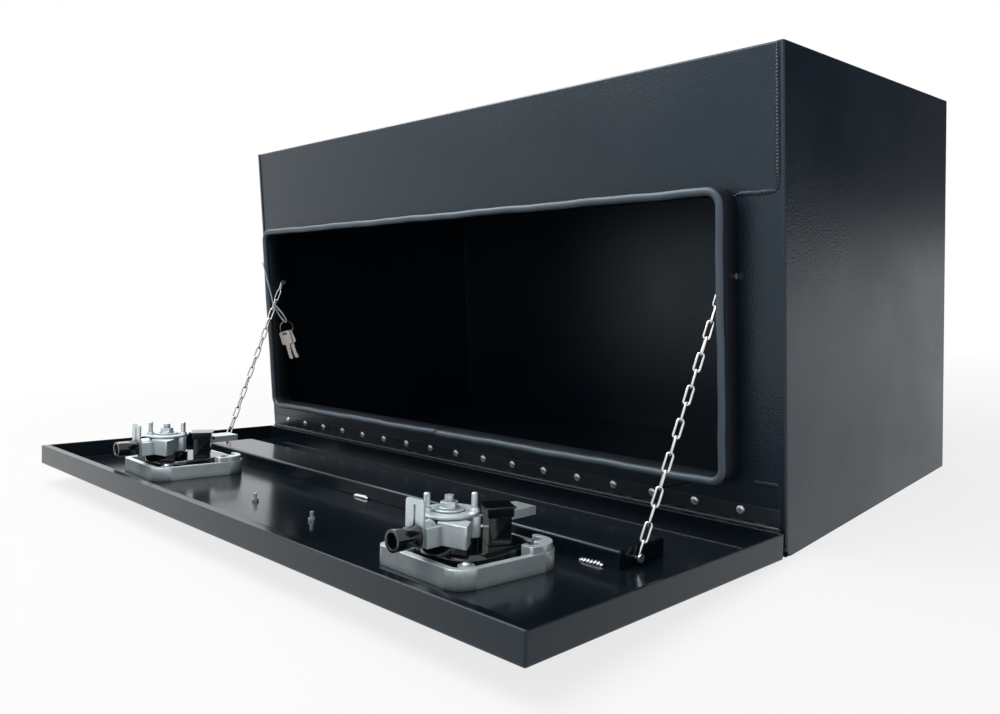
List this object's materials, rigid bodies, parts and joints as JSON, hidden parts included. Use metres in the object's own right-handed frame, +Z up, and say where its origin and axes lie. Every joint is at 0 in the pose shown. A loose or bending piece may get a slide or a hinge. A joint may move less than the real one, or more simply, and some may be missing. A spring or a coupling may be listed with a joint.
{
  "type": "undertray toolbox",
  "caption": "Black sheet-steel undertray toolbox with a drop-down door, folding T-handle compression latches, stay chains, a piano hinge and a set of keys.",
  "frame": {"origin": "middle of the box's bottom face", "axes": "+X across the box's width, +Y from the door side to the back panel, +Z up; the door side faces -Y"},
  "size_m": [1.2, 0.9842, 0.6],
  "materials": {
    "box_coat": "semi-gloss black powder coat",
    "door_coat": "gloss black powder coat",
    "hinge_coat": "semi-gloss black over the folded leaf",
    "seal_rubber": "matt extruded rubber with a paler bulb",
    "bright_steel": "bright plated steel",
    "zinc_steel": "zinc plated, faintly blue",
    "rivet_steel": "drawn steel",
    "cast_metal": "raw die casting",
    "black_casting": "black coated casting",
    "black_plastic": "gloss black moulding",
    "badge_aluminium": "bare brushed plate",
    "key_nickel": "nickel plated brass",
    "tie_plastic": "white nylon"
  },
  "bodies": {
    "box": {"side_panel_right": "box_coat", "side_panel_left": "box_coat", "back_panel": "box_coat", "floor_panel": "box_coat", "top_panel": "box_coat", "upper_front_panel": "box_coat", "front_sill": "box_coat", "door_seal": "seal_rubber", "hinge_frame_leaf": "hinge_coat", "hinge_pin": "rivet_steel", "frame_leaf_rivets": "rivet_steel", "frame_weld_beads": "box_coat", "chain_left": "bright_steel", "chain_right": "bright_steel", "chain_frame_rivets": "rivet_steel", "cable_tie": "tie_plastic"},
    "door": {"hinge_door_leaf": "hinge_coat", "door_pan": "door_coat", "door_channel": "door_coat", "channel_end_caps": "door_coat", "stitch_welds": "rivet_steel", "badge_plate": "badge_aluminium", "badge_studs": "zinc_steel", "badge_nuts": "zinc_steel", "chain_door_rivets": "rivet_steel", "lock_ring_left": "cast_metal", "lock_dish_left": "black_plastic", "lock_screws_left": "zinc_steel", "lock_guard_left": "black_plastic", "tail_bracket_left": "zinc_steel", "lock_ring_right": "cast_metal", "lock_dish_right": "black_plastic", "lock_screws_right": "zinc_steel", "lock_guard_right": "black_plastic", "tail_bracket_right": "zinc_steel"},
    "latch_left": {"spindle_left": "zinc_steel", "cam_left": "cast_metal", "cam_washer_left": "zinc_steel", "cam_nut_left": "zinc_steel", "rod_prongs_left": "zinc_steel", "roller_sleeve_left": "black_plastic", "sleeve_screw_left": "zinc_steel", "slotted_tab_left": "zinc_steel"},
    "handle_left": {"t_handle_left": "black_casting", "handle_pin_left": "zinc_steel"},
    "key_plug_left": {"key_cylinder_left": "key_nickel"},
    "latch_right": {"spindle_right": "zinc_steel", "cam_right": "cast_metal", "cam_washer_right": "zinc_steel", "cam_nut_right": "zinc_steel", "rod_prongs_right": "zinc_steel", "roller_sleeve_right": "black_plastic", "sleeve_screw_right": "zinc_steel", "slotted_tab_right": "zinc_steel"},
    "handle_right": {"t_handle_right": "black_casting", "handle_pin_right": "zinc_steel"},
    "key_plug_right": {"key_cylinder_right": "key_nickel"},
    "keys": {"key_ring": "key_nickel", "keys": "key_nickel"}
  },
  "joints": [
    {"name": "door_hinge", "type": "hinge", "parent": "box", "child": "door", "pos_m": [0, -0.2778, 0.0335], "axis": [-1, 0, 0], "range_deg": [0, 85.3], "deforming": ["chain_left", "chain_right", "cable_tie"]},
    {"name": "latch_turn_left", "type": "hinge", "parent": "door", "child": "latch_left", "pos_m": [-0.364, -0.59408, 0.0284], "axis": [0, -0.0819, -0.9966], "range_deg": [0, 90]},
    {"name": "handle_fold_left", "type": "hinge", "parent": "latch_left", "child": "handle_left", "pos_m": [-0.364, -0.59506, 0.01644], "axis": [-1, 0, 0], "range_deg": [0, 90]},
    {"name": "key_turn_left", "type": "hinge", "parent": "handle_left", "child": "key_plug_left", "pos_m": [-0.364, -0.55561, 0.00818], "axis": [0, 0.0819, 0.9966], "range_deg": [0, 90]},
    {"name": "latch_turn_right", "type": "hinge", "parent": "door", "child": "latch_right", "pos_m": [0.364, -0.59408, 0.0284], "axis": [0, -0.0819, -0.9966], "range_deg": [0, 90]},
    {"name": "handle_fold_right", "type": "hinge", "parent": "latch_right", "child": "handle_right", "pos_m": [0.364, -0.59506, 0.01644], "axis": [-1, 0, 0], "range_deg": [0, 90]},
    {"name": "key_turn_right", "type": "hinge", "parent": "handle_right", "child": "key_plug_right", "pos_m": [0.364, -0.55561, 0.00818], "axis": [0, 0.0819, 0.9966], "range_deg": [0, 90]},
    {"name": "keys_swing", "type": "hinge", "parent": "box", "child": "keys", "pos_m": [-0.5145, -0.281, 0.2555], "axis": [0, -1, 0], "range_deg": [0, 20]}
  ]
}
